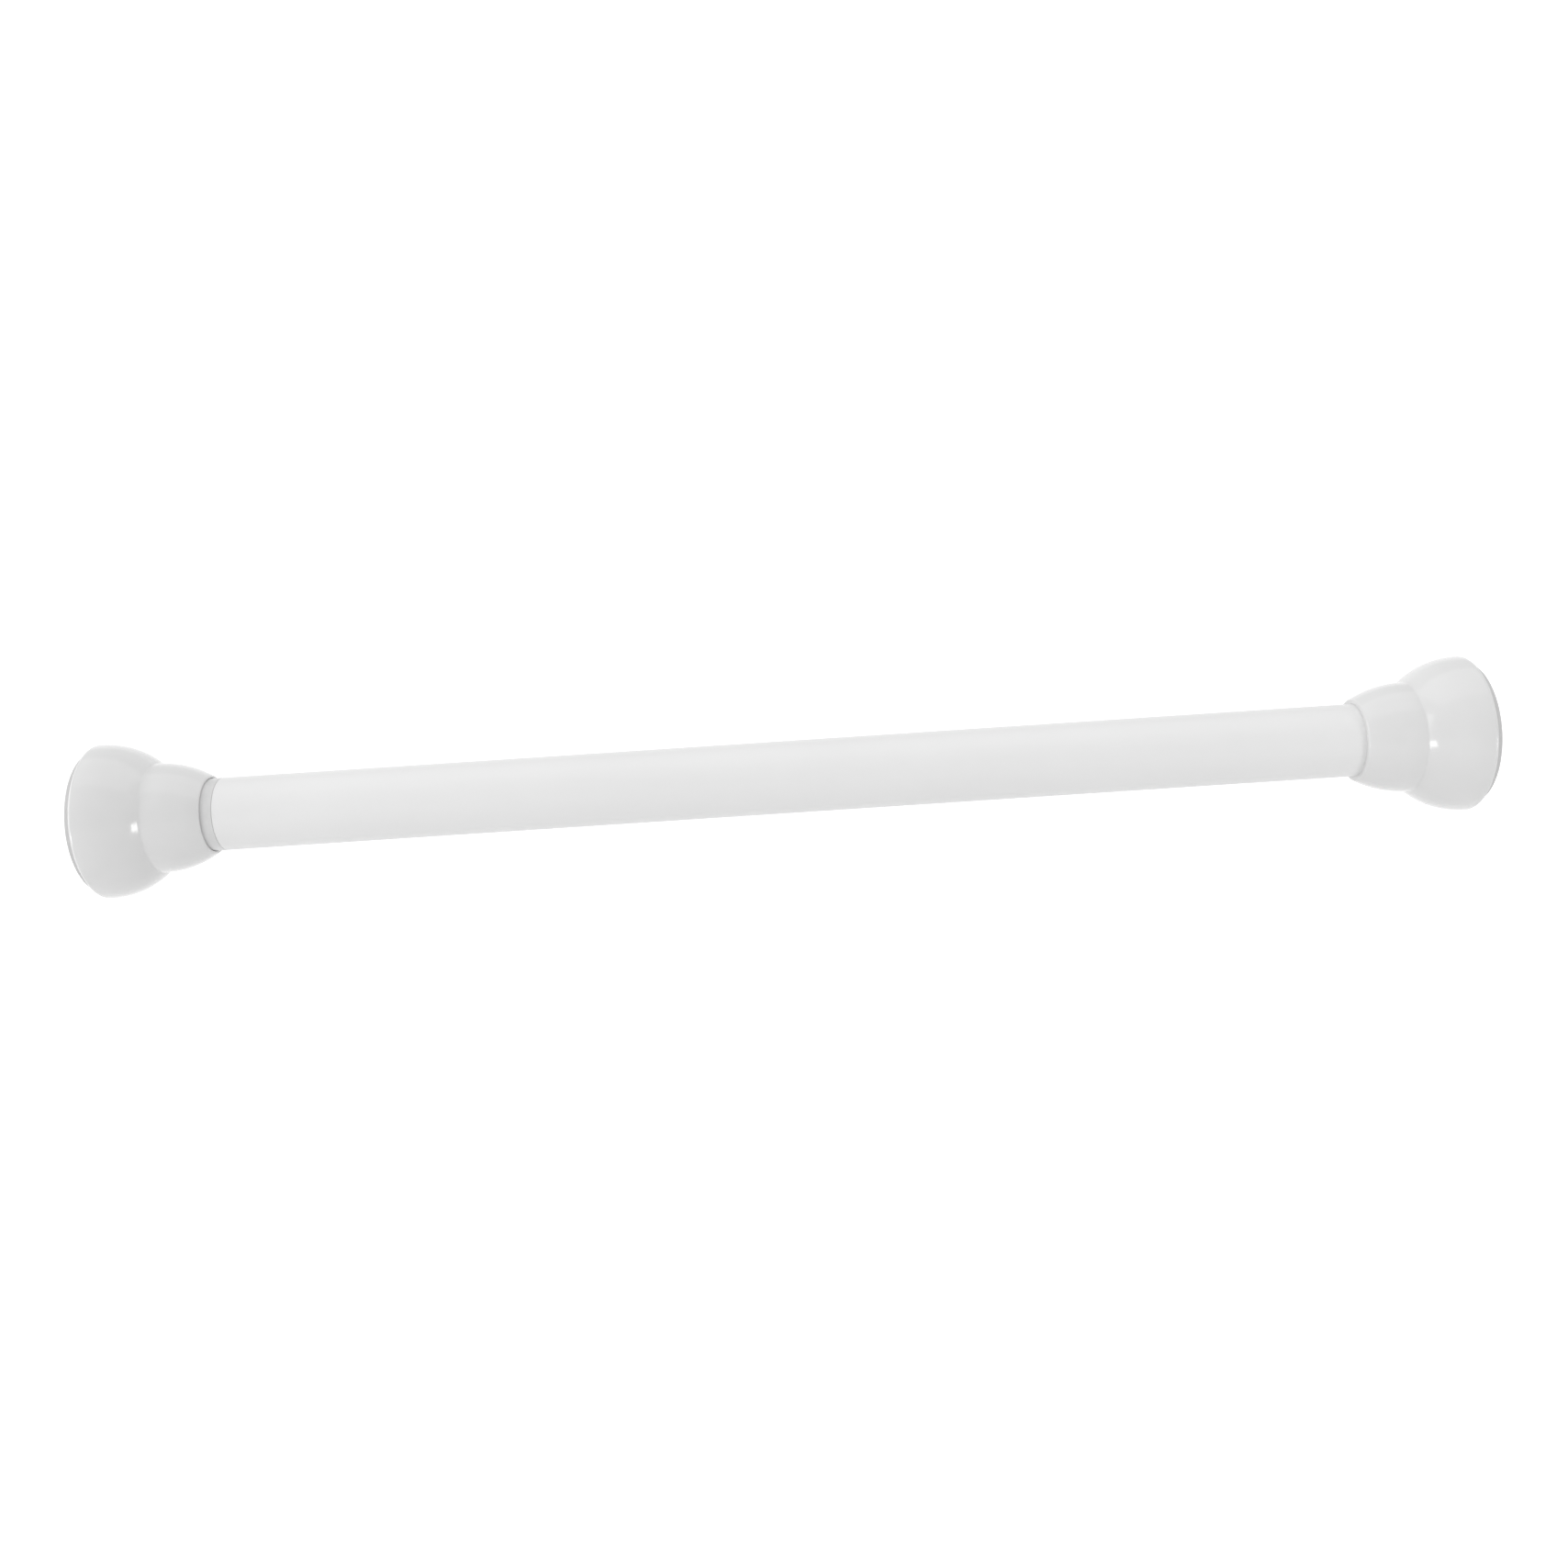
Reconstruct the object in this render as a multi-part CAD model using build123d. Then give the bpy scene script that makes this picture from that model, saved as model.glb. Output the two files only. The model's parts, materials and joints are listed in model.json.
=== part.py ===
from build123d import *
from math import cos, radians, sqrt, tan
import os

os.makedirs("parts", exist_ok=True)

# Rod, closed up. X runs along the rod, zero at the face of the fixed wall pad
closed_length = 529.0
spring_stroke = 20.0
grip_travel = 3.0

# Tubes
outer_tube_radius = 14.0
inner_tube_radius = 12.5
tube_wall = 0.7
tube_edge = 0.25

# Clearances
press_gap = 0.05
sliding_gap = 0.1
free_gap = 0.3
stop_gap = 1.0
end_room = 3.45
bore_gap = 0.2

# Wall pad
pad_reveal = 2.3
pad_radius = 27.1
pad_edge = 0.4
pad_plate = 2.6
pad_lip = 1.0
pad_lip_height = 1.4
pad_rim = 2.3
pad_groove_width = 1.2
pad_groove_depth = 0.6
pad_groove_count = 3
pad_groove_pitch = 4.5

# End cover
cover_wall = 2.0
cover_height = 42.1
rim_face = 1.1
rim_rounding = 1.3
dome_step = 8.6
crease_rounding = 0.6
fixed_mouth_face = 1.7
sliding_mouth_face = 0.8
mouth_rounding = 0.5
mouth_edge = 0.2
snap_bead_height = 0.9
snap_bead_width = 1.2

# Foot
foot_flange = 1.8
foot_drum = 2.9
latch_width = 2.0
collar_wall = 2.4
collar_depth = 12.7
spigot_depth = 24.7
spigot_bore = 8.0
foot_rib = 1.6
foot_rib_count = 8
pocket_depth = 4.0
foot_pin_radius = 1.5
foot_pin_from_face = 16.0

# Guide bush at the open end of the outer tube
bush_entry = 0.6
bush_flange = 5.0
bush_depth = 40.0

# Nose bush and its rivets
nose_flange = 8.0
nose_depth = 18.0
rivet_radius = 1.5

# Lock screw
screw_radius = 4.0
shank_flats = 10.0
shank_slip = 0.2
collar_radius = 8.5
collar_width = 2.5
washer_width = 1.0
clip_width = 1.0
clip_radius = 6.0
clip_groove = 0.6
end_nut_flats = 13.0
end_nut_width = 6.5
screw_tail = 1.2

# Expander sleeve and cone nut
sleeve_radius = 13.0
sleeve_length = 34.0
sleeve_end_wall = 4.0
sleeve_bore = 4.4
cavity_length = 4.0
taper_mouth_radius = 10.2
taper_angle = 8.0
slot_width = 2.4
slot_count = 4
grip_groove = 1.0
grip_groove_depth = 0.5
grip_groove_places = (13.0, 16.0, 29.0, 32.0)
band_place = 23.0
band_section = 2.4
cone_seat_gap = 0.05
cone_tip_gap = 1.8
cone_flange = 3.0
cone_flange_radius = 12.2
fin_radius = 10.3

# Tension spring
spring_wire = 2.0
spring_mean_radius = 9.0
spring_coils = 10
spring_pitch = 8.4
plunger_washer = 2.0
plunger_washer_radius = 10.5

# Spring stop
stop_length = 14.0
stop_boss_length = 6.0
stop_boss_radius = 7.0
stop_pin_radius = 1.5

# Sizes that follow from the ones above
outer_bore = outer_tube_radius - tube_wall
inner_bore = inner_tube_radius - tube_wall
foot_flange_radius = pad_radius - pad_rim
foot_drum_radius = foot_flange_radius - pad_lip_height
cover_bore = pad_radius + bore_gap
latch_radius = cover_bore - free_gap
cover_radius = cover_bore + rim_face + rim_rounding
large_dome_start = pad_reveal + rim_rounding
small_dome_radius = cover_radius - dome_step
small_dome_start = large_dome_start + sqrt(cover_radius**2 - small_dome_radius**2)
mouth_end = pad_reveal + cover_height
fixed_mouth_bore = outer_tube_radius + sliding_gap
sliding_mouth_bore = outer_tube_radius + free_gap
bush_start = mouth_end - bush_entry
open_end = bush_start + bush_flange
foot_back = pad_plate + press_gap + foot_flange + foot_drum
seat_depth = foot_back + latch_width
thread_gap = press_gap
screw_end_x = -(seat_depth + spigot_depth + end_room)
end_nut_x = screw_end_x - screw_tail - end_nut_width
cone_back_x = end_nut_x - free_gap - cone_flange
sleeve_x = cone_back_x - stop_gap - grip_travel - sleeve_length
washer_x = sleeve_x - sliding_gap - washer_width
collar_x = washer_x - sliding_gap - collar_width
nose_x = collar_x - spring_stroke - stop_gap - nose_flange
clip_x = sleeve_x + sleeve_end_wall + sliding_gap
cone_tip_x = clip_x + clip_width + cone_tip_gap + grip_travel
plunger_x = nose_x - nose_depth - free_gap
washer_back_x = plunger_x - plunger_washer
spring_length = spring_coils * spring_pitch + spring_wire
spring_x = washer_back_x - spring_length - press_gap
stop_x = spring_x - stop_length - press_gap


def turned(*points):
    return revolve(Plane.XZ * make_face(Polyline(*points, close=True)), Axis.X)


def ring(start, end, outside, inside=0.0, edge=0.0):
    if edge == 0.0:
        return turned((start, inside), (end, inside), (end, outside), (start, outside))
    return turned(
        (start, inside),
        (end, inside),
        (end, outside - edge),
        (end - edge, outside),
        (start + edge, outside),
        (start, outside - edge),
    )


def hexagon_bar(start, end, flats):
    section = RegularPolygon(flats / 2, 6, major_radius=False)
    return extrude(Plane((start, 0, 0), x_dir=(0, 1, 0), z_dir=(1, 0, 0)) * section, end - start)


def cross_pin(x, radius, half_length):
    return Pos(x, 0, 0) * Cylinder(radius, 2 * half_length)


def around_x(shape, angle):
    return Rot(angle, 0, 0) * shape


def at_fixed_end(shape):
    return Rot(0, 0, 180) * shape


def at_sliding_end(shape):
    return Pos(-closed_length, 0, 0) * shape


def save(shape, node):
    export_step(shape, "parts/" + node + ".step")


def block(start, end, radius):
    return make_face(Polyline((start, 0), (end, 0), (end, radius), (start, radius), close=True))


# Half section of a dome: an arc that leaves the rod's direction smoothly
def dome(start, top, arc, low_radius):
    centre = top - arc
    reach = sqrt(arc**2 - (low_radius - centre) ** 2)
    middle = (start + reach / 2, centre + sqrt(arc**2 - (reach / 2) ** 2))
    low = (start + reach, low_radius)
    curve = ThreePointArc((start, top), middle, low)
    return make_face(curve + Polyline(low, (low[0], 0), (start, 0), (start, top)))


def small_dome_arc(lip_radius):
    drop = small_dome_radius - lip_radius
    reach = mouth_end - small_dome_start
    return (reach**2 + drop**2) / (2 * drop)


def cover_outside(lip_radius):
    rim_start = (pad_reveal, cover_bore + rim_face)
    rim_end = (large_dome_start, cover_radius)
    rim = RadiusArc(rim_start, rim_end, rim_rounding)
    back = Polyline(rim_end, (large_dome_start, 0), (pad_reveal, 0), rim_start)
    section = make_face(rim + back)
    section += dome(large_dome_start, cover_radius, cover_radius, lip_radius)
    section += dome(small_dome_start, small_dome_radius, small_dome_arc(lip_radius), lip_radius)
    crease = section.vertices().sort_by_distance((small_dome_start, small_dome_radius))[0]
    section = fillet(crease, crease_rounding)
    lip = section.vertices().sort_by_distance((mouth_end, lip_radius))[0]
    return fillet(lip, mouth_rounding)


def cover_inside(bore, lip_radius):
    large = cover_radius - cover_wall
    small = small_dome_radius - cover_wall
    section = dome(large_dome_start, large, large, bore)
    section &= block(large_dome_start, mouth_end, cover_bore)
    section += block(pad_reveal - 1, large_dome_start, cover_bore)
    section += block(pad_reveal, small_dome_start, small)
    section += dome(small_dome_start, small, small_dome_arc(lip_radius) - cover_wall, bore)
    section += block(pad_reveal, mouth_end + 1, bore)
    edge = Polyline(
        (mouth_end - mouth_edge, 0),
        (mouth_end - mouth_edge, bore),
        (mouth_end, bore + mouth_edge),
        (mouth_end + 1, bore + mouth_edge),
        (mouth_end + 1, 0),
        close=True,
    )
    return section + make_face(edge)


def cover(bore, mouth_face):
    lip_radius = bore + mouth_face
    bead_end = foot_back - press_gap
    bead_start = bead_end - snap_bead_width
    bead = Polyline(
        (bead_start, cover_bore + 0.5),
        (bead_start, cover_bore),
        (bead_end - 0.4, cover_bore - snap_bead_height),
        (bead_end, cover_bore - snap_bead_height),
        (bead_end, cover_bore + 0.5),
        close=True,
    )
    section = cover_outside(lip_radius) - cover_inside(bore, lip_radius) + make_face(bead)
    return revolve(Plane.XZ * section, Axis.X)


def wall_pad():
    lip_start = pad_plate + press_gap + foot_flange + press_gap
    plate = turned(
        (0, 0),
        (0, pad_radius - pad_edge),
        (pad_edge, pad_radius),
        (lip_start + pad_lip, pad_radius),
        (lip_start + pad_lip, 0),
    )
    pad = plate - ring(pad_plate, lip_start, foot_flange_radius + press_gap)
    pad -= ring(pad_plate, lip_start + pad_lip, foot_drum_radius + press_gap)
    for step in range(pad_groove_count):
        groove = foot_drum_radius - pad_groove_width - step * pad_groove_pitch
        pad -= ring(-1, pad_groove_depth, groove, groove - pad_groove_width)
    return pad


def foot(tube_radius, tube_bore):
    front = pad_plate + press_gap
    collar_radius_outside = tube_radius + collar_wall
    body = ring(front, front + foot_flange, foot_flange_radius)
    body += ring(front, foot_back, foot_drum_radius)
    body += ring(foot_back, seat_depth, latch_radius, 0, 0.4)
    body += ring(foot_back, seat_depth + collar_depth, collar_radius_outside, 0, 0.4)
    body += ring(foot_back, seat_depth + spigot_depth, tube_bore - press_gap, 0, 0.8)
    gusset = Polyline(
        (seat_depth - 0.5, 0),
        (seat_depth - 0.5, latch_radius - 2),
        (seat_depth, latch_radius - 2),
        (seat_depth + collar_depth - 2, collar_radius_outside),
        (seat_depth + collar_depth - 2, 0),
        close=True,
    )
    web = extrude(Plane.XZ * make_face(gusset), foot_rib / 2, both=True)
    for step in range(foot_rib_count):
        body += around_x(web, (step + 0.5) * 360 / foot_rib_count)
    body -= ring(seat_depth, seat_depth + spigot_depth, tube_radius + press_gap, tube_bore - press_gap)
    pocket = ring(front - 1, front + pocket_depth, foot_drum_radius - collar_wall, spigot_bore + foot_rib)
    rib = Box(2 * pocket_depth, foot_rib, 2 * foot_drum_radius)
    for step in range(foot_rib_count // 2):
        pocket -= around_x(Pos(front, 0, 0) * rib, (step + 0.5) * 360 / foot_rib_count)
    body -= pocket
    body -= ring(front - 1, seat_depth + spigot_depth + 1, spigot_bore)
    return body - cross_pin(foot_pin_from_face, foot_pin_radius + press_gap, collar_radius_outside + 1)


def foot_pin(tube_radius):
    return cross_pin(foot_pin_from_face, foot_pin_radius, tube_radius + collar_wall - 0.3)


def outer_tube():
    left = -closed_length + open_end
    right = -seat_depth - press_gap
    tube = ring(left, right, outer_tube_radius, outer_bore, tube_edge)
    return tube - cross_pin(-foot_pin_from_face, foot_pin_radius + press_gap, outer_tube_radius + 1)


def inner_tube():
    left = -closed_length + seat_depth + press_gap
    tube = ring(left, nose_x - press_gap, inner_tube_radius, inner_bore, tube_edge)
    pin_x = -closed_length + foot_pin_from_face
    tube -= cross_pin(pin_x, foot_pin_radius + press_gap, inner_tube_radius + 1)
    tube -= cross_pin(stop_x + stop_length / 2, stop_pin_radius + press_gap, inner_tube_radius + 1)
    return tube - cross_pin(nose_x - nose_depth / 2, rivet_radius + press_gap, inner_tube_radius + 1)


def guide_bush():
    left = -closed_length + bush_start
    flange = ring(left, left + bush_flange - press_gap, outer_tube_radius, 0, tube_edge)
    bush = flange + ring(left + 1, left + bush_flange + bush_depth, outer_bore - press_gap, 0, 0.3)
    return bush - ring(left - 1, left + bush_flange + bush_depth + 1, inner_tube_radius + sliding_gap)


def nose_bush():
    flange = ring(nose_x, nose_x + nose_flange, outer_bore - 2 * sliding_gap, 0, 0.5)
    bush = flange + ring(nose_x - nose_depth, nose_x + 1, inner_bore - press_gap, 0, 0.5)
    bush -= hexagon_bar(nose_x - nose_depth - 1, nose_x + nose_flange + 1, shank_flats + 2 * shank_slip)
    return bush - cross_pin(nose_x - nose_depth / 2, rivet_radius + press_gap, inner_tube_radius)


def nose_rivet():
    inside = shank_flats / 2 + 1.6
    outside = inner_tube_radius - 0.2
    half = (outside - inside) / 2
    return Pos(nose_x - nose_depth / 2, 0, inside + half) * Cylinder(rivet_radius, 2 * half)


def lock_screw():
    screw = hexagon_bar(plunger_x, collar_x + 1, shank_flats)
    screw += ring(collar_x, collar_x + collar_width, collar_radius, 0, 0.4)
    screw += ring(collar_x, screw_end_x, screw_radius, 0, 0.5)
    screw += ring(washer_back_x - clip_width - 2, plunger_x + 1, screw_radius, 0, 0.5)
    groove = screw_radius - clip_groove
    screw -= ring(clip_x, clip_x + clip_width, screw_radius + 1, groove)
    plunger_clip_x = washer_back_x - clip_width - press_gap
    return screw - ring(plunger_clip_x, plunger_clip_x + clip_width, screw_radius + 1, groove)


def open_clip(start):
    groove = screw_radius - clip_groove + press_gap
    clip = ring(start + press_gap / 2, start + clip_width - press_gap / 2, clip_radius, groove)
    gap = Pos(start, 0, clip_radius) * Box(3 * clip_width, 1.2 * screw_radius, 2 * clip_radius)
    return clip - gap


def thrust_washer():
    return ring(washer_x, washer_x + washer_width, collar_radius, screw_radius + sliding_gap)


def end_nut():
    nut = hexagon_bar(end_nut_x, end_nut_x + end_nut_width, end_nut_flats)
    corner = end_nut_flats / 2 / cos(radians(30))
    nut = nut & ring(end_nut_x, end_nut_x + end_nut_width, corner, 0, 0.8)
    return nut - ring(end_nut_x - 1, end_nut_x + end_nut_width + 1, screw_radius + thread_gap)


def plunger_disc():
    return ring(washer_back_x, plunger_x - press_gap, plunger_washer_radius, screw_radius + press_gap, 0.3)


def taper_radius(x):
    mouth_x = sleeve_x + sleeve_length
    return taper_mouth_radius - (mouth_x - x) * tan(radians(taper_angle))


def expander_sleeve():
    mouth_x = sleeve_x + sleeve_length
    cavity_x = sleeve_x + sleeve_end_wall
    taper_x = cavity_x + cavity_length
    sleeve = ring(sleeve_x, mouth_x, sleeve_radius, 0, 0.6)
    sleeve -= ring(sleeve_x - 1, mouth_x + 1, sleeve_bore)
    sleeve -= turned(
        (cavity_x, 0),
        (cavity_x, taper_radius(taper_x)),
        (taper_x, taper_radius(taper_x)),
        (mouth_x, taper_mouth_radius),
        (mouth_x + 1, taper_mouth_radius),
        (mouth_x + 1, 0),
    )
    for place in grip_groove_places:
        start = sleeve_x + place
        sleeve -= ring(start, start + grip_groove, sleeve_radius + 1, sleeve_radius - grip_groove_depth)
    sleeve -= band(band_section / 2 + press_gap)
    slot = Pos(mouth_x, 0, 0) * Box(2 * (mouth_x - taper_x), slot_width, 2 * sleeve_radius + 2)
    for step in range(slot_count // 2):
        sleeve -= around_x(slot, step * 360 / slot_count)
    return sleeve


def band(section_radius):
    centre = sleeve_radius - band_section / 2
    circle = Plane.XZ * (Pos(sleeve_x + band_place, centre) * Circle(section_radius))
    return revolve(circle, Axis.X)


def cone_nut():
    front = cone_tip_x
    back = cone_back_x
    slack = cone_seat_gap / cos(radians(taper_angle))
    cone = turned(
        (front, 0),
        (front, taper_radius(front - grip_travel) - slack),
        (back, taper_radius(back - grip_travel) - slack),
        (back, 0),
    )
    cone += ring(back, back + cone_flange, cone_flange_radius, 0, 0.5)
    fin_start = front + (back - front) / 3
    fin = Pos((fin_start + back) / 2, 0, 0) * Box(back - fin_start, slot_width - 2 * free_gap, 2 * fin_radius)
    for step in range(slot_count // 2):
        cone += around_x(fin, step * 360 / slot_count)
    return cone - ring(front - 1, back + cone_flange + 1, screw_radius + thread_gap)


def tension_spring():
    path = Helix(spring_pitch, spring_coils * spring_pitch, spring_mean_radius)
    start = Plane(path @ 0, z_dir=path % 0)
    coil = sweep(start * Circle(spring_wire / 2), path, is_frenet=True)
    return Pos(spring_x + spring_wire / 2, 0, 0) * Rot(0, 90, 0) * coil


def spring_stop():
    stop = ring(stop_x, stop_x + stop_length, inner_bore - press_gap, 0, 0.5)
    stop += ring(stop_x, stop_x + stop_length + stop_boss_length, stop_boss_radius, 0, 0.8)
    stop -= ring(stop_x - 1, stop_x + stop_length + stop_boss_length + 1, screw_radius)
    return stop - cross_pin(stop_x + stop_length / 2, stop_pin_radius + press_gap, inner_tube_radius)


save(outer_tube(), "outer_tube")
save(guide_bush(), "guide_bush")
save(at_fixed_end(foot(outer_tube_radius, outer_bore)), "outer_foot")
save(at_fixed_end(foot_pin(outer_tube_radius)), "outer_foot_pin")
save(at_fixed_end(wall_pad()), "outer_wall_pad")
save(at_fixed_end(cover(fixed_mouth_bore, fixed_mouth_face)), "outer_cover")

save(inner_tube(), "inner_tube")
save(at_sliding_end(foot(inner_tube_radius, inner_bore)), "inner_foot")
save(at_sliding_end(foot_pin(inner_tube_radius)), "inner_foot_pin")
save(at_sliding_end(wall_pad()), "inner_wall_pad")
save(at_sliding_end(cover(sliding_mouth_bore, sliding_mouth_face)), "inner_cover")
save(nose_bush(), "nose_bush")
save(nose_rivet(), "upper_nose_rivet")
save(around_x(nose_rivet(), 180), "lower_nose_rivet")
save(tension_spring(), "tension_spring")
save(spring_stop(), "spring_stop")
save(cross_pin(stop_x + stop_length / 2, stop_pin_radius, inner_tube_radius - 0.2), "spring_stop_pin")

save(lock_screw(), "lock_screw")
save(thrust_washer(), "thrust_washer")
save(open_clip(clip_x), "screw_clip")
save(end_nut(), "end_nut")
save(plunger_disc(), "plunger_washer")
save(open_clip(washer_back_x - clip_width - press_gap), "plunger_clip")

save(expander_sleeve(), "expander_sleeve")
save(band(band_section / 2), "expander_band")
save(cone_nut(), "cone_nut")
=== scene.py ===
import json
from math import atan2, pi, radians, sqrt

import bmesh
import bpy
from mathutils import Matrix, Vector


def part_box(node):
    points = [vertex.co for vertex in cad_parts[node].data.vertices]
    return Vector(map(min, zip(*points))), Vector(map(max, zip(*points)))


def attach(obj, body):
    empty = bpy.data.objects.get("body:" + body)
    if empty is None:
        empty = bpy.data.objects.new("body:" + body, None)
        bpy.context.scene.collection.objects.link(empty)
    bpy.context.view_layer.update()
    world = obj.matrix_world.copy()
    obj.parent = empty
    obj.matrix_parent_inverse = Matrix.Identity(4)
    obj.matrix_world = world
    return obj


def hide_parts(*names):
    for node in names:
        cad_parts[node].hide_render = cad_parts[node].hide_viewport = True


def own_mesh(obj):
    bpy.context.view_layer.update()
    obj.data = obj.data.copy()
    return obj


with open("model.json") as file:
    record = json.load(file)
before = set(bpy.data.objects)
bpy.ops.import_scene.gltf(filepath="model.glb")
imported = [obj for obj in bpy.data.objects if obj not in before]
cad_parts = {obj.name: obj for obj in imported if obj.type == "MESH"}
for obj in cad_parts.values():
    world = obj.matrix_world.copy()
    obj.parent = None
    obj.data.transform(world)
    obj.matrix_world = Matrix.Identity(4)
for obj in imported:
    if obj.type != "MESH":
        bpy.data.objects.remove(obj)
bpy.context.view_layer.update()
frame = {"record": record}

bl_info = {
    "name": "Shower Curtain Rod",
    "version": (1, 0, 0),
    "blender": (4, 5, 0),
    "location": "3D View > Sidebar > Curtain Rod",
    "description": "Dresses a telescopic shower curtain rod and its studio",
    "category": "Object",
}

MM = 0.001


def node_box(name):
    low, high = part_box(name)
    return Vector(low), Vector(high)


# Sizes read from the solids
LEFT_FACE = node_box("inner_wall_pad")[0].x
TUBE_RADIUS = node_box("outer_tube")[1].z
SLIDER_RADIUS = node_box("inner_tube")[1].z
COVER_RADIUS = node_box("outer_cover")[1].z
COVER_START = -node_box("outer_cover")[1].x
COVER_END = -node_box("outer_cover")[0].x
PAD_RADIUS = node_box("outer_wall_pad")[1].z
PAD_DEPTH = -node_box("outer_wall_pad")[0].x

TUBE_WALL = 0.7 * MM
TUBE_EDGE = 0.25 * MM
PIN_HOLE_RADIUS = 1.55 * MM

# Fineness of the meshes: steps round the rod and along each arc, the holding rings' distance, the
# distance at which vertices are welded, and the angle in degrees from which an edge is sharp
ROUND = 160
BIG_DOME_STEPS = 44
SMALL_DOME_STEPS = 28
INNER_BIG_STEPS = 18
INNER_SMALL_STEPS = 14
ROUNDING_STEPS = 10
PAD_EDGE_STEPS = 8
LIP_STEPS = 5
TUBE_EDGE_STEPS = 4
HOLD = 0.08 * MM
WELD = 1e-7
SHARP = 35

# The photograph's camera: width, focal length and shift in pixels, distance in metres, roll in degrees
PHOTO_WIDTH = 1708
FOCAL_LENGTH = 1529
SHIFT_ASIDE = 0.3
SHIFT_UP = -7.3
CAMERA_DISTANCE = 0.5420
CAMERA_ROLL = -3.743

# Name, place from the rod's middle in metres, size in metres, power in watts
LAMPS = (
    ("top_softbox", (0, -0.3, 1.6), (2.2, 1.6), 6.5),
    ("left_softbox", (-2.0, -0.5, 0.5), (1.5, 1.5), 12.0),
    ("left_lamp", (-1.194, -0.797, -0.482), (0.42, 0.46), 5.6),
    ("right_lamp", (1.206, -0.845, -0.357), (0.28, 0.40), 3.5),
)


# Sizes and colours that a user would change
class RodSizes(bpy.types.PropertyGroup):
    cover_wall: bpy.props.FloatProperty(
        name="Cover wall", description="Wall thickness of the moulded cover",
        default=2.0 * MM, min=0.5 * MM, max=4 * MM, unit="LENGTH")
    rim_face: bpy.props.FloatProperty(
        name="Rim face", description="Width of the flat face of the cover's rim beside the pad",
        default=1.1 * MM, min=0.3 * MM, max=3 * MM, unit="LENGTH")
    rim_rounding: bpy.props.FloatProperty(
        name="Rim rounding", description="Radius of the rounding between the rim's face and the dome",
        default=1.3 * MM, min=0.3 * MM, max=3 * MM, unit="LENGTH")
    dome_step: bpy.props.FloatProperty(
        name="Dome step", description="How much smaller the small dome is than the one next to the wall",
        default=8.6 * MM, min=4 * MM, max=12 * MM, unit="LENGTH")
    crease_rounding: bpy.props.FloatProperty(
        name="Crease rounding", description="Radius in the crease between the two domes",
        default=1.3 * MM, min=0.2 * MM, max=4 * MM, unit="LENGTH")
    fixed_mouth_gap: bpy.props.FloatProperty(
        name="Fixed mouth gap", description="Room between the fixed end's cover and the outer tube",
        default=0.02 * MM, min=0.02 * MM, max=1 * MM, unit="LENGTH")
    fixed_mouth_face: bpy.props.FloatProperty(
        name="Fixed mouth face", description="Width of the flat face round the fixed end's mouth",
        default=1.7 * MM, min=0.8 * MM, max=3 * MM, unit="LENGTH")
    sliding_mouth_gap: bpy.props.FloatProperty(
        name="Sliding mouth gap", description="Room for the outer tube when the spring is pressed in",
        default=0.2 * MM, min=0.05 * MM, max=1 * MM, unit="LENGTH")
    sliding_mouth_face: bpy.props.FloatProperty(
        name="Sliding mouth face", description="Width of the flat face round the sliding end's mouth",
        default=0.8 * MM, min=0.8 * MM, max=3 * MM, unit="LENGTH")
    mouth_rounding: bpy.props.FloatProperty(
        name="Mouth rounding", description="Radius of the mouth's outer edge, as a share of the mouth's face",
        default=0.65, min=0.2, max=0.7, subtype="FACTOR")
    pad_groove_width: bpy.props.FloatProperty(
        name="Pad groove width", description="Width of the rings in the wall pad's face",
        default=1.2 * MM, min=0.4 * MM, max=3 * MM, unit="LENGTH")
    pad_groove_depth: bpy.props.FloatProperty(
        name="Pad groove depth", description="Depth of the rings in the wall pad's face",
        default=0.6 * MM, min=0.2 * MM, max=1 * MM, unit="LENGTH")


class RodColours(bpy.types.PropertyGroup):
    tube_paint: bpy.props.StringProperty(
        name="Tube paint", description="Colour of the powder coat, sRGB hex", default="DFDFDF")
    cover_plastic: bpy.props.StringProperty(
        name="Cover plastic", description="Colour of the moulded covers, sRGB hex", default="D4D4D4")
    pad_rubber: bpy.props.StringProperty(
        name="Pad rubber", description="Colour of the wall pads, sRGB hex", default="C6C6C6")
    bush_plastic: bpy.props.StringProperty(
        name="Bush plastic", description="Colour of the guide bush, sRGB hex", default="CCCCCC")


# Colours and node materials
def linear(hex_colour):
    channels = [int(hex_colour[i:i + 2], 16) / 255 for i in (0, 2, 4)]
    return [c / 12.92 if c <= 0.04045 else ((c + 0.055) / 1.055) ** 2.4 for c in channels] + [1.0]


def tinted(colour, factor):
    return [min(1.0, c * factor) for c in colour[:3]] + [1.0]


def add_node(tree, kind, settings=None, inputs=None, links=None):
    node = tree.nodes.new(kind)
    for key, value in (settings or {}).items():
        setattr(node, key, value)
    for key, value in (inputs or {}).items():
        node.inputs[key].default_value = value
    for key, socket in (links or {}).items():
        tree.links.new(socket, node.inputs[key])
    return node


def bare_tree(owner):
    owner.use_nodes = True
    owner.node_tree.nodes.clear()
    return owner.node_tree


def new_material(name):
    material = bpy.data.materials.new(name)
    tree = bare_tree(material)
    shader = add_node(tree, "ShaderNodeBsdfPrincipled")
    add_node(tree, "ShaderNodeOutputMaterial", links={"Surface": shader.outputs[0]})
    return material, tree, shader


def object_point(tree, stretch=(1, 1, 1)):
    coordinates = add_node(tree, "ShaderNodeTexCoord")
    return add_node(tree, "ShaderNodeMapping", inputs={"Scale": stretch},
                    links={"Vector": coordinates.outputs["Object"]}).outputs[0]


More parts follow.
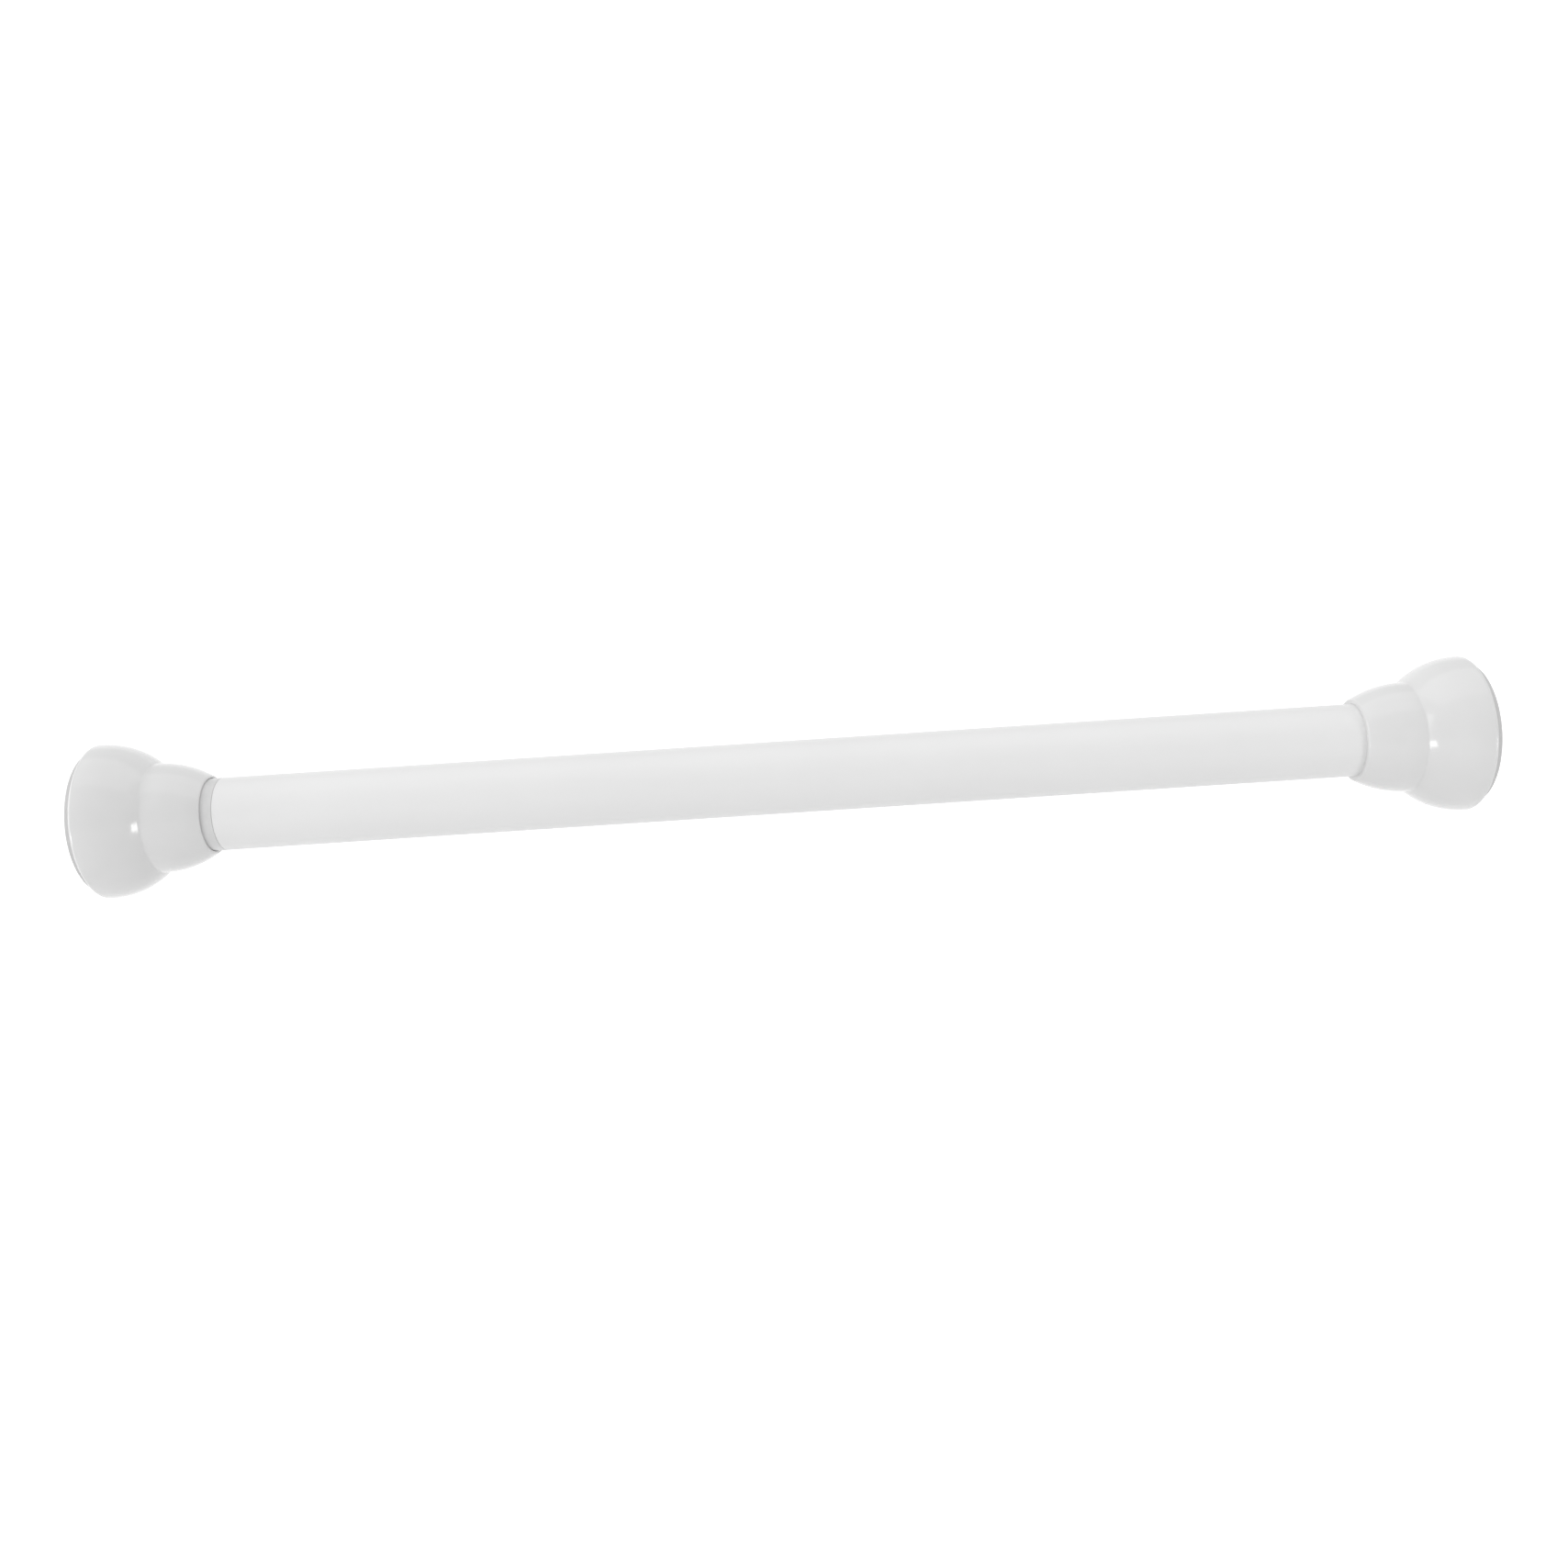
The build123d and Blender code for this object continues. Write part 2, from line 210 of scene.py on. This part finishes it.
# Colour and roughness run from low to high with a pattern; noise seldom leaves 0.3 to 0.7, so the
# colours are spread over that. Relief is a pattern with its strength and depth
def dress(tree, shader, colour, roughness, relief):
    pattern, low, high = colour
    mottle = add_node(tree, "ShaderNodeMapRange", inputs={"From Min": 0.3, "From Max": 0.7},
                      links={"Value": pattern})
    base = add_node(tree, "ShaderNodeMix", {"data_type": "RGBA"}, {6: low, 7: high},
                    {0: mottle.outputs[0]})
    pattern, low, high = roughness
    rough = add_node(tree, "ShaderNodeMapRange", inputs={"To Min": low, "To Max": high},
                     links={"Value": pattern})
    pattern, strength, depth = relief
    bump = add_node(tree, "ShaderNodeBump", inputs={"Strength": strength, "Distance": depth},
                    links={"Height": pattern})
    tree.links.new(base.outputs[2], shader.inputs["Base Color"])
    tree.links.new(rough.outputs[0], shader.inputs["Roughness"])
    tree.links.new(bump.outputs[0], shader.inputs["Normal"])


# White polyester powder coat on drawn steel tube. Baked powder levels into very low, even waves about
# 1.5 mm across, which soften the lamp's streak along the tube
def powder_coat(name, hex_colour):
    material, tree, shader = new_material(name)
    colour = linear(hex_colour)
    point = object_point(tree)
    waves = add_node(tree, "ShaderNodeTexNoise", inputs={"Scale": 1 / (1.5 * MM), "Detail": 2.0},
                     links={"Vector": point}).outputs["Fac"]
    clouds = add_node(tree, "ShaderNodeTexNoise", inputs={"Scale": 1 / (60 * MM), "Detail": 3.0},
                      links={"Vector": point}).outputs["Fac"]
    dress(tree, shader, (clouds, tinted(colour, 0.985), tinted(colour, 1.01)), (waves, 0.34, 0.42),
          (waves, 0.12, 0.03 * MM))
    shader.inputs["IOR"].default_value = 1.5
    return material


# Glossy ABS, injection moulded in a polished tool: deep even white with a clear reflection, slightly
# uneven where the wall shrank while it cooled, waves about 12 mm long
def moulded_abs(name, hex_colour):
    material, tree, shader = new_material(name)
    colour = linear(hex_colour)
    point = object_point(tree)
    sink = add_node(tree, "ShaderNodeTexNoise", inputs={"Scale": 1 / (12 * MM), "Detail": 1.0},
                    links={"Vector": point}).outputs["Fac"]
    polish = add_node(tree, "ShaderNodeTexNoise", inputs={"Scale": 1 / (3 * MM), "Detail": 4.0},
                      links={"Vector": point}).outputs["Fac"]
    dress(tree, shader, (sink, tinted(colour, 0.99), tinted(colour, 1.01)), (polish, 0.1, 0.17),
          (sink, 0.1, 0.04 * MM))
    shader.inputs["IOR"].default_value = 1.53
    return material


# Thermoplastic rubber, moulded in a spark-eroded tool: a fine matt grain about 0.4 mm across that
# keeps the pad dull beside the glossy cover
def moulded_rubber(name, hex_colour):
    material, tree, shader = new_material(name)
    colour = linear(hex_colour)
    point = object_point(tree)
    grain = add_node(tree, "ShaderNodeTexNoise", inputs={"Scale": 1 / (0.4 * MM), "Detail": 3.0},
                     links={"Vector": point}).outputs["Fac"]
    marks = add_node(tree, "ShaderNodeTexNoise", inputs={"Scale": 1 / (9 * MM), "Detail": 4.0},
                     links={"Vector": point}).outputs["Fac"]
    dress(tree, shader, (marks, tinted(colour, 0.96), tinted(colour, 1.02)), (grain, 0.55, 0.7),
          (grain, 0.3, 0.03 * MM))
    shader.inputs["IOR"].default_value = 1.5
    return material


# Plain mouldings of acetal, polypropylene, nylon or hard rubber: a satin skin with the tool's turning
# marks round the rod. Real marks are too fine to show, so these are 1.6 mm apart: a wave texture
# repeats every 0.314 of its scale's length, here 5 mm
def satin_moulding(name, hex_colour, rough_low, rough_high):
    material, tree, shader = new_material(name)
    colour = linear(hex_colour)
    point = object_point(tree)
    rings = add_node(tree, "ShaderNodeTexWave", {"wave_type": "BANDS", "bands_direction": "X"},
                     {"Scale": 1 / (5 * MM), "Distortion": 0.4, "Detail": 2.0},
                     {"Vector": point}).outputs["Fac"]
    mottle = add_node(tree, "ShaderNodeTexNoise", inputs={"Scale": 1 / (6 * MM), "Detail": 3.0},
                      links={"Vector": point}).outputs["Fac"]
    dress(tree, shader, (mottle, tinted(colour, 0.96), tinted(colour, 1.03)),
          (mottle, rough_low, rough_high), (rings, 0.1, 0.02 * MM))
    return material


# Zinc plate and drawn spring wire: bare metal, streaked along the rod by drawing and turning, with
# streaks about 0.3 mm wide and nearly 4 mm long
def drawn_metal(name, hex_colour, rough_low, rough_high):
    material, tree, shader = new_material(name)
    colour = linear(hex_colour)
    point = object_point(tree, (0.08, 1, 1))
    streaks = add_node(tree, "ShaderNodeTexNoise", inputs={"Scale": 1 / (0.3 * MM), "Detail": 2.0},
                       links={"Vector": point}).outputs["Fac"]
    dress(tree, shader, (streaks, tinted(colour, 0.9), tinted(colour, 1.05)),
          (streaks, rough_low, rough_high), (streaks, 0.08, 0.01 * MM))
    shader.inputs["Metallic"].default_value = 1.0
    return material


# The material of a slot, made when it's first asked for
def finish(slot):
    colours = bpy.context.scene.rod_colours
    name, make, *look = {
        "tube_paint": ("powder_coated_steel", powder_coat, colours.tube_paint),
        "cover_plastic": ("moulded_gloss_abs", moulded_abs, colours.cover_plastic),
        "pad_rubber": ("moulded_soft_rubber", moulded_rubber, colours.pad_rubber),
        "bush_plastic": ("moulded_satin_acetal", satin_moulding, colours.bush_plastic, 0.28, 0.36),
        "foot_plastic": ("moulded_polypropylene", satin_moulding, "D8D9D6", 0.42, 0.52),
        "lock_plastic": ("moulded_black_nylon", satin_moulding, "2B2D30", 0.45, 0.6),
        "band_rubber": ("moulded_black_rubber", satin_moulding, "17181A", 0.6, 0.75),
        "spring_steel": ("drawn_spring_wire", drawn_metal, "9B9CA0", 0.22, 0.34),
        "plated_steel": ("zinc_plated_steel", drawn_metal, "C2C3C4", 0.25, 0.4),
    }[slot]
    return bpy.data.materials.get(name) or make(name, *look)


# Mesh helpers. Outlines run in the XZ plane; s is the distance from the near wall pad's face, or X for
# a piece that is drawn in place
class Outline:
    def __init__(self, s, radius):
        self.bm = bmesh.new()
        self.tip = self.bm.verts.new((s, 0, radius))

    def reach(self, place):
        made = bmesh.ops.extrude_vert_indiv(self.bm, verts=[self.tip])
        self.tip = made["verts"][0]
        self.tip.co = place

    # A long straight run gets a holding ring near each end, so that the roundings beside it don't shade it
    def line(self, s, radius):
        start = self.tip.co.copy()
        end = Vector((s, 0, radius))
        if (end - start).length > 8 * HOLD:
            along = (end - start).normalized() * HOLD
            self.reach(start + along)
            self.reach(end - along)
        self.reach(end)

    def arc(self, centre_s, centre_radius, turn, steps):
        made = bmesh.ops.spin(self.bm, geom=[self.tip], cent=(centre_s, 0, centre_radius),
                              axis=(0, -1, 0), angle=turn, steps=steps, use_duplicate=False)
        self.tip = [item for item in made["geom_last"] if isinstance(item, bmesh.types.BMVert)][0]

    def turned(self):
        bm = self.bm
        bmesh.ops.remove_doubles(bm, verts=bm.verts, dist=WELD)
        bmesh.ops.spin(bm, geom=bm.verts[:] + bm.edges[:], cent=(0, 0, 0), axis=(1, 0, 0),
                       angle=2 * pi, steps=ROUND, use_merge=True, use_duplicate=False)
        bmesh.ops.remove_doubles(bm, verts=bm.verts, dist=WELD)
        return bm


def corner_angle(centre, point):
    return atan2(point[1] - centre[1], point[0] - centre[0])


def linked_object(bm, name):
    mesh = bpy.data.meshes.new(name)
    bm.to_mesh(mesh)
    bm.free()
    made = bpy.data.objects.new(name, mesh)
    bpy.context.scene.collection.objects.link(made)
    return made


# A piece for the fixed or the sliding end is drawn from its wall pad's face on and then put at that end;
# one that is drawn in place has the end "as_drawn"
def made_object(bm, name, end, body, slot, node):
    if end == "fixed":
        bmesh.ops.rotate(bm, verts=bm.verts, cent=(0, 0, 0), matrix=Matrix.Rotation(pi, 3, "Z"))
    if end == "sliding":
        bmesh.ops.translate(bm, verts=bm.verts, vec=(LEFT_FACE, 0, 0))
    bmesh.ops.recalc_face_normals(bm, faces=bm.faces)
    piece = linked_object(bm, name)
    piece.data.materials.append(finish(slot))
    piece.data.shade_smooth()
    piece.data.set_sharp_from_angle(angle=radians(SHARP))
    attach(piece, body)
    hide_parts(node)
    return piece


def need(condition, message):
    if not condition:
        raise RuntimeError(message)


class ROD_OT_covers(bpy.types.Operator):
    """Model the two moulded end covers with their two domes, rim, mouth lip and snap bead"""
    bl_idname = "rod.covers"
    bl_label = "End covers"

    def execute(self, context):
        sizes = context.scene.rod_sizes
        fixed = self.section(sizes, sizes.fixed_mouth_gap, sizes.fixed_mouth_face)
        made_object(fixed, "fixed_end_cover", "fixed", "outer", "cover_plastic", "outer_cover")
        sliding = self.section(sizes, sizes.sliding_mouth_gap, sizes.sliding_mouth_face)
        made_object(sliding, "sliding_end_cover", "sliding", "inner", "cover_plastic", "inner_cover")
        return {"FINISHED"}

    def section(self, sizes, mouth_gap, mouth_face):
        wall = sizes.cover_wall
        rim = sizes.rim_rounding
        bore = COVER_RADIUS - rim - sizes.rim_face
        dome_start = COVER_START + rim
        big = (dome_start, 0)
        mouth = TUBE_RADIUS + mouth_gap
        lip = sizes.mouth_rounding * mouth_face
        lip_radius = mouth + mouth_face
        small_radius = COVER_RADIUS - sizes.dome_step
        small_start = dome_start + sqrt(COVER_RADIUS ** 2 - small_radius ** 2)
        drop = small_radius - lip_radius
        small_arc = ((COVER_END - small_start) ** 2 + drop ** 2) / (2 * drop)
        small = (small_start, small_radius - small_arc)

        # the crease's rounding touches both domes from outside, the lip's rounding sits inside the small one
        crease = sizes.crease_rounding
        hollow = self.meeting(big, COVER_RADIUS + crease, small, small_arc + crease)
        inner = self.meeting(big, COVER_RADIUS - wall, small, small_arc - wall)
        need(hollow and inner, "the two domes don't meet")
        nose_start = COVER_END - lip
        nose = (nose_start, small[1] + sqrt((small_arc - lip) ** 2 - (nose_start - small[0]) ** 2))

        outline = Outline(COVER_START, bore)
        outline.line(COVER_START, COVER_RADIUS - rim)
        outline.arc(dome_start, COVER_RADIUS - rim, -pi / 2, ROUNDING_STEPS)
        outline.arc(*big, corner_angle(big, hollow) - pi / 2, BIG_DOME_STEPS)
        outline.arc(*hollow, corner_angle(hollow, small) - corner_angle(hollow, big), ROUNDING_STEPS)
        outline.arc(*small, corner_angle(small, nose) - corner_angle(small, hollow), SMALL_DOME_STEPS)
        outline.arc(*nose, -corner_angle(small, nose), LIP_STEPS)
        outline.line(COVER_END, mouth)
        inner_start = (small[0] + sqrt((small_arc - wall) ** 2 - (mouth - small[1]) ** 2), mouth)
        outline.line(*inner_start)
        outline.arc(*small, corner_angle(small, inner) - corner_angle(small, inner_start),
                    INNER_SMALL_STEPS)
        inner_end = (big[0] + sqrt((COVER_RADIUS - wall) ** 2 - bore ** 2), bore)
        outline.arc(*big, corner_angle(big, inner_end) - corner_angle(big, inner), INNER_BIG_STEPS)

        # the snap bead behind the foot's flange: a steep back, a land and a long lead
        bead = PAD_DEPTH + 1.85 * MM
        bead_bore = bore - 0.9 * MM
        land = 0.4 * MM
        lead = 1.2 * MM
        outline.line(bead, bore)
        outline.line(bead, bead_bore)
        outline.line(bead - land, bead_bore)
        outline.line(bead - lead, bore)
        outline.line(COVER_START, bore)
        return outline.turned()

    # Where two circles cross outside the rod's axis, or None
    def meeting(self, a, a_radius, b, b_radius):
        between = Vector((b[0] - a[0], b[1] - a[1]))
        gap = between.length
        along = (a_radius ** 2 - b_radius ** 2 + gap ** 2) / (2 * gap)
        if along ** 2 >= a_radius ** 2:
            return None
        across = sqrt(a_radius ** 2 - along ** 2)
        foot = Vector(a) + between * (along / gap)
        side = Vector((-between.y, between.x)) / gap * across
        return max((foot + side)[:], (foot - side)[:], key=lambda p: p[1])


class ROD_OT_pads(bpy.types.Operator):
    """Model the two soft wall pads with ring grooves in their faces and a lip round the foot"""
    bl_idname = "rod.pads"
    bl_label = "Wall pads"

    def execute(self, context):
        sizes = context.scene.rod_sizes
        made_object(self.section(sizes), "fixed_wall_pad", "fixed", "outer", "pad_rubber", "outer_wall_pad")
        made_object(self.section(sizes), "sliding_wall_pad", "sliding", "inner", "pad_rubber",
                    "inner_wall_pad")
        return {"FINISHED"}

    def section(self, sizes):
        edge = 0.4 * MM
        width = sizes.pad_groove_width
        depth = sizes.pad_groove_depth
        pitch = 4.5 * MM
        soft = 0.2 * MM
        plate = 2.6 * MM
        lip = 1.0 * MM
        flange = PAD_RADIUS - 2.25 * MM
        drum = PAD_RADIUS - 3.65 * MM
        widest = drum - 0.05 * MM - 2 * width
        outline = Outline(0, 0)
        for step in (2, 1, 0):
            radius = widest - step * pitch
            outline.line(0, radius - soft)
            outline.line(soft, radius)
            outline.line(depth, radius + soft)
            outline.line(depth, radius + width - soft)
            outline.line(soft, radius + width)
            outline.line(0, radius + width + soft)
        outline.line(0, PAD_RADIUS - edge)
        outline.arc(edge, PAD_RADIUS - edge, -pi / 2, PAD_EDGE_STEPS)
        outline.line(PAD_DEPTH, PAD_RADIUS)
        outline.line(PAD_DEPTH, drum)
        outline.line(PAD_DEPTH - lip, drum)
        outline.line(PAD_DEPTH - lip, flange)
        outline.line(plate, flange)
        outline.line(plate, 0)
        return outline.turned()


class ROD_OT_outer_tube(bpy.types.Operator):
    """Model the powder-coated outer tube with its rolled open edge"""
    bl_idname = "rod.outer_tube"
    bl_label = "Outer tube"

    def execute(self, context):
        low, high = node_box("outer_tube")
        bore = TUBE_RADIUS - TUBE_WALL
        outline = Outline(low.x, bore)
        outline.line(low.x, TUBE_RADIUS - TUBE_EDGE)
        outline.arc(low.x + TUBE_EDGE, TUBE_RADIUS - TUBE_EDGE, -pi / 2, TUBE_EDGE_STEPS)
        outline.line(high.x, TUBE_RADIUS)
        outline.line(high.x, bore)
        outline.line(low.x, bore)
        tube = made_object(outline.turned(), "powder_coated_outer_tube", "as_drawn", "outer", "tube_paint",
                           "outer_tube")
        drill(tube, TUBE_RADIUS, ("outer_foot_pin",))
        return {"FINISHED"}


class ROD_OT_inner_tube(bpy.types.Operator):
    """Model the powder-coated inner tube with its pin holes"""
    bl_idname = "rod.inner_tube"
    bl_label = "Inner tube"

    def execute(self, context):
        low, high = node_box("inner_tube")
        bore = SLIDER_RADIUS - TUBE_WALL
        outline = Outline(low.x, bore)
        outline.line(low.x, SLIDER_RADIUS)
        outline.line(high.x - TUBE_EDGE, SLIDER_RADIUS)
        outline.line(high.x, SLIDER_RADIUS - TUBE_EDGE)
        outline.line(high.x, bore)
        outline.line(low.x, bore)
        tube = made_object(outline.turned(), "powder_coated_inner_tube", "as_drawn", "inner", "tube_paint",
                           "inner_tube")
        drill(tube, SLIDER_RADIUS, ("inner_foot_pin", "spring_stop_pin", "upper_nose_rivet"))
        return {"FINISHED"}


# Cuts a hole right through the tube, up and down, at each pin's place
def drill(tube, tube_radius, pins):
    cutters = bmesh.new()
    for pin in pins:
        low, high = node_box(pin)
        centre = Matrix.Translation(((low.x + high.x) / 2, 0, 0))
        bmesh.ops.create_cone(cutters, cap_ends=True, segments=32, radius1=PIN_HOLE_RADIUS,
                              radius2=PIN_HOLE_RADIUS, depth=2 * (tube_radius + 2 * MM), matrix=centre)
    cutter = linked_object(cutters, "pin_drill")
    cut = tube.modifiers.new("pin_holes", "BOOLEAN")
    cut.object = cutter
    cut.solver = "EXACT"
    graph = bpy.context.evaluated_depsgraph_get()
    done = bpy.data.meshes.new_from_object(tube.evaluated_get(graph))
    need(len(done.polygons) > len(tube.data.polygons), "the pin holes weren't cut")
    tube.modifiers.clear()
    tube.data = done
    drilled = cutter.data
    bpy.data.objects.remove(cutter)
    bpy.data.meshes.remove(drilled)


class ROD_OT_guide_bush(bpy.types.Operator):
    """Model the guide bush in the open end of the outer tube, with its rounded flange"""
    bl_idname = "rod.guide_bush"
    bl_label = "Guide bush"

    def execute(self, context):
        low, high = node_box("guide_bush")
        flange = node_box("outer_tube")[0].x - 0.05 * MM
        bore = SLIDER_RADIUS + 0.1 * MM
        plug = TUBE_RADIUS - 0.75 * MM
        lead = 0.3 * MM
        edge = 0.25 * MM
        outline = Outline(low.x, bore + edge)
        outline.line(low.x, TUBE_RADIUS - edge)
        outline.arc(low.x + edge, TUBE_RADIUS - edge, -pi / 2, TUBE_EDGE_STEPS)
        outline.line(flange - edge, TUBE_RADIUS)
        outline.arc(flange - edge, TUBE_RADIUS - edge, -pi / 2, TUBE_EDGE_STEPS)
        outline.line(flange, plug)
        outline.line(high.x - lead, plug)
        outline.line(high.x, plug - lead)
        outline.line(high.x, bore)
        outline.line(low.x + edge, bore)
        outline.line(low.x, bore + edge)
        made_object(outline.turned(), "guide_bush_flange", "as_drawn", "outer", "bush_plastic", "guide_bush")
        return {"FINISHED"}


class ROD_OT_hidden_pieces(bpy.types.Operator):
    """Give every remaining piece inside the rod its own finish"""
    bl_idname = "rod.hidden_pieces"
    bl_label = "Pieces inside"

    def execute(self, context):
        slots = {entry["node"]: entry["material_slot"] for entry in frame["record"]["subparts"]}
        for node, slot in slots.items():
            piece = bpy.data.objects.get(node)
            need(piece, "no object for " + node)
            piece.data.materials.clear()
            piece.data.materials.append(finish(slot))
        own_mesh(bpy.data.objects["tension_spring"])
        return {"FINISHED"}


# One for rays that show the background itself: straight from the camera, mirrored or seen through glass
def seen_or_mirrored(tree):
    path = add_node(tree, "ShaderNodeLightPath")
    seen = add_node(tree, "ShaderNodeMath", {"operation": "MAXIMUM"},
                    links={0: path.outputs["Is Camera Ray"], 1: path.outputs["Is Glossy Ray"]})
    return add_node(tree, "ShaderNodeMath", {"operation": "MAXIMUM"},
                    links={0: seen.outputs[0], 1: path.outputs["Is Transmission Ray"]}).outputs[0]


class ROD_OT_studio(bpy.types.Operator):
    """Set up the white floor, backdrop, lamps, world and camera"""
    bl_idname = "rod.studio"
    bl_label = "Studio"

    def execute(self, context):
        scene = context.scene
        scene.view_settings.view_transform = "Standard"
        middle = Vector((LEFT_FACE / 2, 0, 0))
        self.floor(middle)
        self.world(scene)
        for name, place, size, power in LAMPS:
            self.lamp(scene, middle, name, Vector(place), size, power)
        self.camera(scene, middle)
        return {"FINISHED"}

    def floor(self, middle):
        reach = 4
        further = 1.0
        drop = 0.5
        height = 5
        bend = 1.5
        bm = bmesh.new()
        bmesh.ops.create_grid(bm, x_segments=1, y_segments=1, size=reach)
        bmesh.ops.translate(bm, verts=bm.verts, vec=middle + Vector((0, further, -drop)))
        back = [edge for edge in bm.edges if all(vert.co.y > reach for vert in edge.verts)]
        risen = bmesh.ops.extrude_edge_only(bm, edges=back)["geom"]
        wall = [item for item in risen if isinstance(item, bmesh.types.BMVert)]
        bmesh.ops.translate(bm, verts=wall, vec=(0, 0, height))
        fold = [edge for edge in bm.edges if len(edge.link_faces) == 2]
        bmesh.ops.bevel(bm, geom=fold, offset=bend, offset_type="OFFSET", affect="EDGES", segments=12,
                        profile=0.5, material=-1)
        bmesh.ops.recalc_face_normals(bm, faces=bm.faces)
        sweep = linked_object(bm, "studio_sweep")
        sweep.data.shade_smooth()
        sweep.data.materials.append(self.paper())

    # White background paper: dull, and lifted to full white where it's seen, so that only shadow shows
    def paper(self):
        material = bpy.data.materials.new("white_paper_sweep")
        tree = bare_tree(material)
        lift = add_node(tree, "ShaderNodeMath", {"operation": "MULTIPLY"}, {1: 0.6},
                        {0: seen_or_mirrored(tree)})
        paper = add_node(tree, "ShaderNodeBsdfDiffuse", inputs={"Color": linear("E1E1E1")})
        glow = add_node(tree, "ShaderNodeEmission", inputs={"Color": linear("FFFFFF")},
                        links={"Strength": lift.outputs[0]})
        both = add_node(tree, "ShaderNodeAddShader", links={0: paper.outputs[0], 1: glow.outputs[0]})
        add_node(tree, "ShaderNodeOutputMaterial", links={"Surface": both.outputs[0]})
        return material

    def world(self, scene):
        world = bpy.data.worlds.new("white_room")
        scene.world = world
        tree = bare_tree(world)
        room = add_node(tree, "ShaderNodeBackground", inputs={"Color": linear("FFFFFF"), "Strength": 0.83})
        white = add_node(tree, "ShaderNodeBackground", inputs={"Color": linear("FFFFFF"), "Strength": 1.0})
        mix = add_node(tree, "ShaderNodeMixShader",
                       links={"Fac": seen_or_mirrored(tree), 1: room.outputs[0], 2: white.outputs[0]})
        add_node(tree, "ShaderNodeOutputWorld", links={"Surface": mix.outputs[0]})

    def lamp(self, scene, middle, name, place, size, power):
        light = bpy.data.lights.new(name, "AREA")
        light.shape = "RECTANGLE"
        light.size = size[0]
        light.size_y = size[1]
        light.energy = power
        holder = bpy.data.objects.new(name, light)
        holder.location = middle + place
        holder.rotation_euler = (-place).to_track_quat("-Z", "Y").to_euler()
        scene.collection.objects.link(holder)

    def camera(self, scene, middle):
        camera = bpy.data.cameras.new("photo_camera")
        camera.sensor_width = 36
        camera.lens = camera.sensor_width * FOCAL_LENGTH / PHOTO_WIDTH
        camera.clip_start = 0.01
        holder = bpy.data.objects.new("photo_camera", camera)
        shift = Vector((SHIFT_ASIDE, 0, SHIFT_UP)) / FOCAL_LENGTH * CAMERA_DISTANCE
        holder.matrix_world = (
            Matrix.Translation(middle - Vector((0, CAMERA_DISTANCE, 0)) + shift)
            @ Matrix.Rotation(pi / 2, 4, "X")
            @ Matrix.Rotation(radians(CAMERA_ROLL), 4, "Z")
        )
        scene.collection.objects.link(holder)
        scene.camera = holder


class ROD_PT_panel(bpy.types.Panel):
    bl_label = "Curtain Rod"
    bl_idname = "ROD_PT_panel"
    bl_space_type = "VIEW_3D"
    bl_region_type = "UI"
    bl_category = "Curtain Rod"

    def draw(self, context):
        layout = self.layout
        for group in (context.scene.rod_sizes, context.scene.rod_colours):
            for key in group.bl_rna.properties.keys():
                if key not in {"rna_type", "name"}:
                    layout.prop(group, key)
        for step in STEPS:
            layout.operator(step.bl_idname)


STEPS = (ROD_OT_covers, ROD_OT_pads, ROD_OT_outer_tube, ROD_OT_inner_tube, ROD_OT_guide_bush,
         ROD_OT_hidden_pieces, ROD_OT_studio)
CLASSES = (RodSizes, RodColours) + STEPS + (ROD_PT_panel,)


def register():
    for cls in CLASSES:
        bpy.utils.register_class(cls)
    bpy.types.Scene.rod_sizes = bpy.props.PointerProperty(type=RodSizes)
    bpy.types.Scene.rod_colours = bpy.props.PointerProperty(type=RodColours)


def unregister():
    del bpy.types.Scene.rod_colours
    del bpy.types.Scene.rod_sizes
    for cls in reversed(CLASSES):
        bpy.utils.unregister_class(cls)


def main():
    register()
    bpy.ops.rod.covers()
    bpy.ops.rod.pads()
    bpy.ops.rod.outer_tube()
    bpy.ops.rod.inner_tube()
    bpy.ops.rod.guide_bush()
    bpy.ops.rod.hidden_pieces()
    bpy.ops.rod.studio()


if __name__ == "__main__":
    main()
